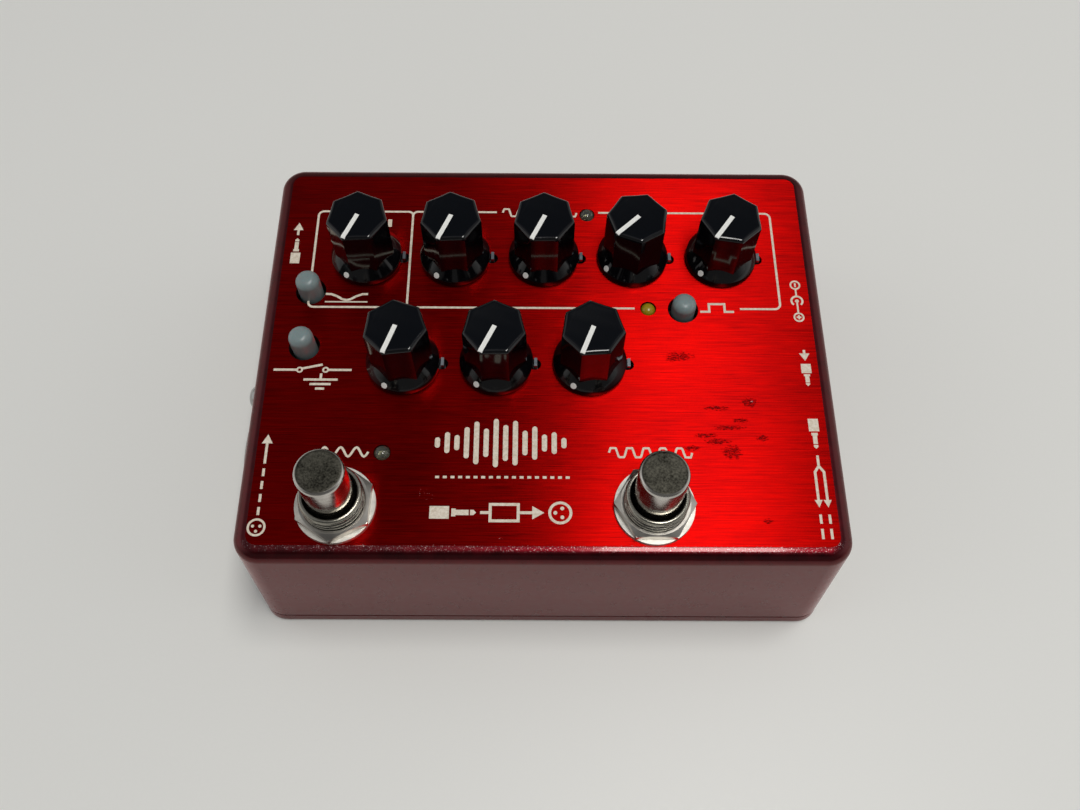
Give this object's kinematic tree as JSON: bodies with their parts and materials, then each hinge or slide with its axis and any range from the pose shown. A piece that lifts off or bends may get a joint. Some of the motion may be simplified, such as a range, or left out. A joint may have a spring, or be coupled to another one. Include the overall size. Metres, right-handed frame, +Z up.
{
  "type": "direct injection box",
  "caption": "Low red metal stage box with two rows of black fluted knobs, small grey push buttons, indicator lights, two foot switches and side sockets.",
  "frame": {"origin": "middle of the base, on the surface that the box stands on", "axes": "+X to the right along the rows of knobs, +Y from the foot switches to the rear edge, +Z up out of the top panel"},
  "size_m": [0.1242, 0.094, 0.0553],
  "materials": {
    "red_case": "candy red over brushed aluminium, glossy clear coat",
    "zinc_screw": "bright zinc",
    "circuit_board": "green solder mask",
    "black_moulding": "satin black",
    "capacitor_sleeve": "shrunk sleeve",
    "film_coating": "dipped coating",
    "resistor_body": "lacquered",
    "potentiometer_can": "nickel plated",
    "nickel_hardware": "nickel plated",
    "footswitch_metal": "nickel plated, grained top",
    "clear_lens": "clear moulded epoxy",
    "yellow_lens": "tinted epoxy",
    "jack_moulding": "black nylon",
    "contact_brass": "bright",
    "xlr_zinc": "nickel plated die casting",
    "battery_jacket": "printed steel jacket",
    "foam": "closed-cell foam",
    "wire_insulation": "soft PVC",
    "knob_black": "glossy sides, satin top",
    "button_grey": "satin",
    "white_nylon": "satin"
  },
  "bodies": {
    "root": {"enclosure": "red_case", "base_cover": "red_case", "cover_screws": "zinc_screw", "main_board": "circuit_board", "ic_packages": "black_moulding", "electrolytic_capacitors": "capacitor_sleeve", "film_capacitors": "film_coating", "resistors": "resistor_body", "upper_potentiometers": "potentiometer_can", "lower_potentiometers": "potentiometer_can", "pot_washers": "nickel_hardware", "pot_nuts": "nickel_hardware", "push_switch_bodies": "black_moulding", "clear_leds": "clear_lens", "gate_led": "yellow_lens", "footswitch_bodies": "footswitch_metal", "footswitch_lugs": "nickel_hardware", "footswitch_washers": "nickel_hardware", "footswitch_nuts": "nickel_hardware", "output_jack": "jack_moulding", "input_jack": "jack_moulding", "parallel_jack": "jack_moulding", "jack_contacts": "contact_brass", "jack_washers": "nickel_hardware", "jack_nuts": "nickel_hardware", "xlr_shell": "xlr_zinc", "xlr_insert": "black_moulding", "xlr_pins": "nickel_hardware", "xlr_screws": "zinc_screw", "dc_jack": "black_moulding", "dc_jack_pin": "nickel_hardware", "battery": "battery_jacket", "battery_pad": "foam", "battery_snap": "black_moulding", "battery_leads": "wire_insulation", "hookup_wires": "wire_insulation"},
    "control_upper_1": {"knob_upper_1": "knob_black", "shaft_upper_1": "potentiometer_can"},
    "control_upper_2": {"knob_upper_2": "knob_black", "shaft_upper_2": "potentiometer_can"},
    "control_upper_3": {"knob_upper_3": "knob_black", "shaft_upper_3": "potentiometer_can"},
    "control_upper_4": {"knob_upper_4": "knob_black", "shaft_upper_4": "potentiometer_can"},
    "control_upper_5": {"knob_upper_5": "knob_black", "shaft_upper_5": "potentiometer_can"},
    "control_lower_1": {"knob_lower_1": "knob_black", "shaft_lower_1": "potentiometer_can"},
    "control_lower_2": {"knob_lower_2": "knob_black", "shaft_lower_2": "potentiometer_can"},
    "control_lower_3": {"knob_lower_3": "knob_black", "shaft_lower_3": "potentiometer_can"},
    "output_level_push": {"output_level_button": "button_grey", "output_level_plunger": "white_nylon"},
    "ground_lift_push": {"ground_lift_button": "button_grey", "ground_lift_plunger": "white_nylon"},
    "gate_push": {"gate_button": "button_grey", "gate_plunger": "white_nylon"},
    "left_foot_switch": {"left_foot_button": "footswitch_metal"},
    "right_foot_switch": {"right_foot_button": "footswitch_metal"}
  },
  "joints": [
    {"name": "turn_upper_1", "type": "hinge", "parent": "root", "child": "control_upper_1", "pos_m": [-0.0373, 0.021, 0.038], "axis": [0, 0, -1], "range_deg": [0, 300]},
    {"name": "turn_upper_2", "type": "hinge", "parent": "root", "child": "control_upper_2", "pos_m": [-0.01865, 0.021, 0.038], "axis": [0, 0, -1], "range_deg": [0, 300]},
    {"name": "turn_upper_3", "type": "hinge", "parent": "root", "child": "control_upper_3", "pos_m": [0, 0.021, 0.038], "axis": [0, 0, -1], "range_deg": [0, 300]},
    {"name": "turn_upper_4", "type": "hinge", "parent": "root", "child": "control_upper_4", "pos_m": [0.01865, 0.021, 0.038], "axis": [0, 0, -1], "range_deg": [-23, 277]},
    {"name": "turn_upper_5", "type": "hinge", "parent": "root", "child": "control_upper_5", "pos_m": [0.0373, 0.021, 0.038], "axis": [0, 0, -1], "range_deg": [-12, 288]},
    {"name": "turn_lower_1", "type": "hinge", "parent": "root", "child": "control_lower_1", "pos_m": [-0.0281, -0.0044, 0.038], "axis": [0, 0, -1], "range_deg": [0, 300]},
    {"name": "turn_lower_2", "type": "hinge", "parent": "root", "child": "control_lower_2", "pos_m": [-0.00945, -0.0044, 0.038], "axis": [0, 0, -1], "range_deg": [0, 300]},
    {"name": "turn_lower_3", "type": "hinge", "parent": "root", "child": "control_lower_3", "pos_m": [0.0092, -0.0044, 0.038], "axis": [0, 0, -1], "range_deg": [0, 300]},
    {"name": "press_output_level", "type": "slide", "parent": "root", "child": "output_level_push", "axis": [0, 0, -1], "range_m": [0, 0.002], "stiffness_N_per_m": 700},
    {"name": "press_ground_lift", "type": "slide", "parent": "root", "child": "ground_lift_push", "axis": [0, 0, -1], "range_m": [0, 0.002], "stiffness_N_per_m": 700},
    {"name": "press_gate", "type": "slide", "parent": "root", "child": "gate_push", "axis": [0, 0, -1], "range_m": [-0.0017, 0.0003], "stiffness_N_per_m": 700},
    {"name": "press_left_foot_switch", "type": "slide", "parent": "root", "child": "left_foot_switch", "axis": [0, 0, -1], "range_m": [0, 0.003], "stiffness_N_per_m": 3000},
    {"name": "press_right_foot_switch", "type": "slide", "parent": "root", "child": "right_foot_switch", "axis": [0, 0, -1], "range_m": [0, 0.003], "stiffness_N_per_m": 3000}
  ]
}
